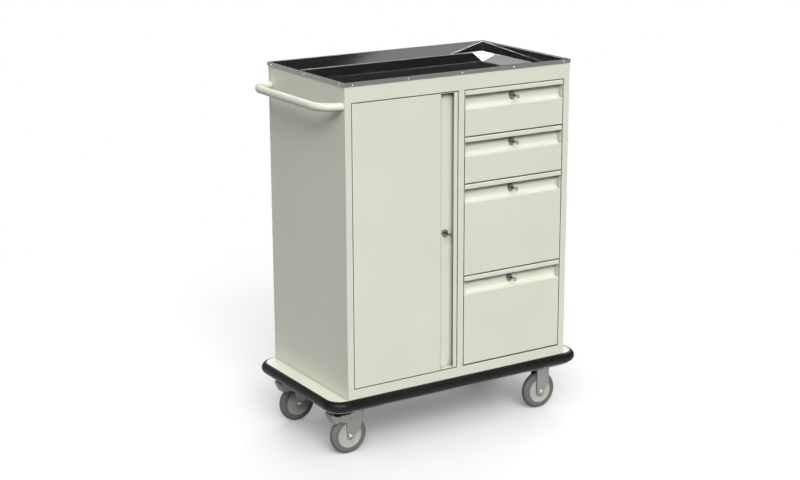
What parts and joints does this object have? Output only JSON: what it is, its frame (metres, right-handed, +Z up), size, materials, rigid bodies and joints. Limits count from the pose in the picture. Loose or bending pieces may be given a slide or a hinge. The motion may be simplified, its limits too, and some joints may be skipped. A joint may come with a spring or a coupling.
{
  "type": "minibar restocking cart",
  "caption": "Sheet-steel hotel minibar cart with a tall cupboard and stacked locking drawers, a polished tray top, a push handle, a bumper deck and casters.",
  "frame": {"origin": "on the floor under the centre of the cabinet", "axes": "X to the right along the front, Y from front to back, Z up"},
  "size_m": [0.9835, 0.522, 1.2002],
  "materials": {
    "cream_paint": "satin powder coat",
    "polished_steel": "polished",
    "zinc_steel": "zinc plated",
    "lock_chrome": "polished",
    "bumper_rubber": "matte",
    "grey_tyre": "matte",
    "hub_plastic": "matte"
  },
  "bodies": {
    "cart": {"deck": "cream_paint", "bumper": "bumper_rubber", "left_side_panel": "cream_paint", "right_side_panel": "cream_paint", "back_panel": "cream_paint", "centre_partition": "cream_paint", "front_frame": "cream_paint", "tray": "polished_steel", "rim_rivets": "polished_steel", "push_handle": "cream_paint", "hex_bolts": "zinc_steel", "cupboard_shelves": "cream_paint", "shelf_clips": "zinc_steel", "cabinet_runners": "zinc_steel", "door_pivot_pins": "zinc_steel", "swivel_plates": "zinc_steel", "fixed_forks": "zinc_steel", "fixed_axles": "zinc_steel"},
    "door": {"door_panel": "cream_paint", "door_lock_body": "lock_chrome"},
    "door_lock": {"door_lock_plug": "lock_chrome", "door_key": "lock_chrome"},
    "drawer_1": {"drawer_1_front": "cream_paint", "drawer_1_box": "cream_paint", "drawer_1_rails": "zinc_steel", "drawer_1_lock_body": "lock_chrome"},
    "drawer_1_lock": {"drawer_1_lock_plug": "lock_chrome", "drawer_1_key": "lock_chrome"},
    "drawer_2": {"drawer_2_front": "cream_paint", "drawer_2_box": "cream_paint", "drawer_2_rails": "zinc_steel", "drawer_2_lock_body": "lock_chrome"},
    "drawer_2_lock": {"drawer_2_lock_plug": "lock_chrome", "drawer_2_key": "lock_chrome"},
    "drawer_3": {"drawer_3_front": "cream_paint", "drawer_3_box": "cream_paint", "drawer_3_rails": "zinc_steel", "drawer_3_lock_body": "lock_chrome"},
    "drawer_3_lock": {"drawer_3_lock_plug": "lock_chrome", "drawer_3_key": "lock_chrome"},
    "drawer_4": {"drawer_4_front": "cream_paint", "drawer_4_box": "cream_paint", "drawer_4_rails": "zinc_steel", "drawer_4_lock_body": "lock_chrome"},
    "drawer_4_lock": {"drawer_4_lock_plug": "lock_chrome", "drawer_4_key": "lock_chrome"},
    "front_left_caster": {"front_left_fork": "zinc_steel", "front_left_axle": "zinc_steel"},
    "front_left_brake": {"front_left_brake_pedal": "zinc_steel"},
    "front_left_wheel": {"front_left_wheel_hub": "hub_plastic", "front_left_wheel_tyre": "grey_tyre"},
    "front_right_wheel": {"front_right_wheel_hub": "hub_plastic", "front_right_wheel_tyre": "grey_tyre"},
    "rear_left_caster": {"rear_left_fork": "zinc_steel", "rear_left_axle": "zinc_steel"},
    "rear_left_brake": {"rear_left_brake_pedal": "zinc_steel"},
    "rear_left_wheel": {"rear_left_wheel_hub": "hub_plastic", "rear_left_wheel_tyre": "grey_tyre"},
    "rear_right_wheel": {"rear_right_wheel_hub": "hub_plastic", "rear_right_wheel_tyre": "grey_tyre"}
  },
  "joints": [
    {"name": "door_swing", "type": "hinge", "parent": "cart", "child": "door", "pos_m": [-0.384, -0.2345, 0.239], "axis": [0, 0, -1], "range_deg": [0, 110]},
    {"name": "door_lock_turn", "type": "hinge", "parent": "door", "child": "door_lock", "pos_m": [-0.0495, -0.2215, 0.6875], "axis": [0, -1, 0], "range_deg": [0, 90]},
    {"name": "drawer_1_slide", "type": "slide", "parent": "cart", "child": "drawer_1", "axis": [0, -1, 0], "range_m": [0, 0.35]},
    {"name": "drawer_1_lock_turn", "type": "hinge", "parent": "drawer_1", "child": "drawer_1_lock", "pos_m": [0.2035, -0.2215, 1.1025], "axis": [0, -1, 0], "range_deg": [0, 90]},
    {"name": "drawer_2_slide", "type": "slide", "parent": "cart", "child": "drawer_2", "axis": [0, -1, 0], "range_m": [0, 0.35]},
    {"name": "drawer_2_lock_turn", "type": "hinge", "parent": "drawer_2", "child": "drawer_2_lock", "pos_m": [0.2035, -0.2215, 0.9535], "axis": [0, -1, 0], "range_deg": [0, 90]},
    {"name": "drawer_3_slide", "type": "slide", "parent": "cart", "child": "drawer_3", "axis": [0, -1, 0], "range_m": [0, 0.35]},
    {"name": "drawer_3_lock_turn", "type": "hinge", "parent": "drawer_3", "child": "drawer_3_lock", "pos_m": [0.2035, -0.2215, 0.803], "axis": [0, -1, 0], "range_deg": [0, 90]},
    {"name": "drawer_4_slide", "type": "slide", "parent": "cart", "child": "drawer_4", "axis": [0, -1, 0], "range_m": [0, 0.35]},
    {"name": "drawer_4_lock_turn", "type": "hinge", "parent": "drawer_4", "child": "drawer_4_lock", "pos_m": [0.2035, -0.2215, 0.502], "axis": [0, -1, 0], "range_deg": [0, 90]},
    {"name": "front_left_swivel", "type": "hinge", "parent": "cart", "child": "front_left_caster", "pos_m": [-0.3515, -0.169, 0.149], "axis": [0, 0, 1], "continuous": true},
    {"name": "front_left_brake_press", "type": "hinge", "parent": "front_left_caster", "child": "front_left_brake", "pos_m": [-0.41555, -0.169, 0.1225], "axis": [0, -1, 0], "range_deg": [0, 24]},
    {"name": "front_left_wheel_spin", "type": "hinge", "parent": "front_left_caster", "child": "front_left_wheel", "pos_m": [-0.3795, -0.169, 0.0625], "axis": [0, 1, 0], "continuous": true},
    {"name": "front_right_wheel_spin", "type": "hinge", "parent": "cart", "child": "front_right_wheel", "pos_m": [0.3695, -0.169, 0.0625], "axis": [0, 1, 0], "continuous": true},
    {"name": "rear_left_swivel", "type": "hinge", "parent": "cart", "child": "rear_left_caster", "pos_m": [-0.3515, 0.169, 0.149], "axis": [0, 0, 1], "continuous": true},
    {"name": "rear_left_brake_press", "type": "hinge", "parent": "rear_left_caster", "child": "rear_left_brake", "pos_m": [-0.41555, 0.169, 0.1225], "axis": [0, -1, 0], "range_deg": [0, 24]},
    {"name": "rear_left_wheel_spin", "type": "hinge", "parent": "rear_left_caster", "child": "rear_left_wheel", "pos_m": [-0.3795, 0.169, 0.0625], "axis": [0, 1, 0], "continuous": true},
    {"name": "rear_right_wheel_spin", "type": "hinge", "parent": "cart", "child": "rear_right_wheel", "pos_m": [0.3695, 0.169, 0.0625], "axis": [0, 1, 0], "continuous": true}
  ]
}
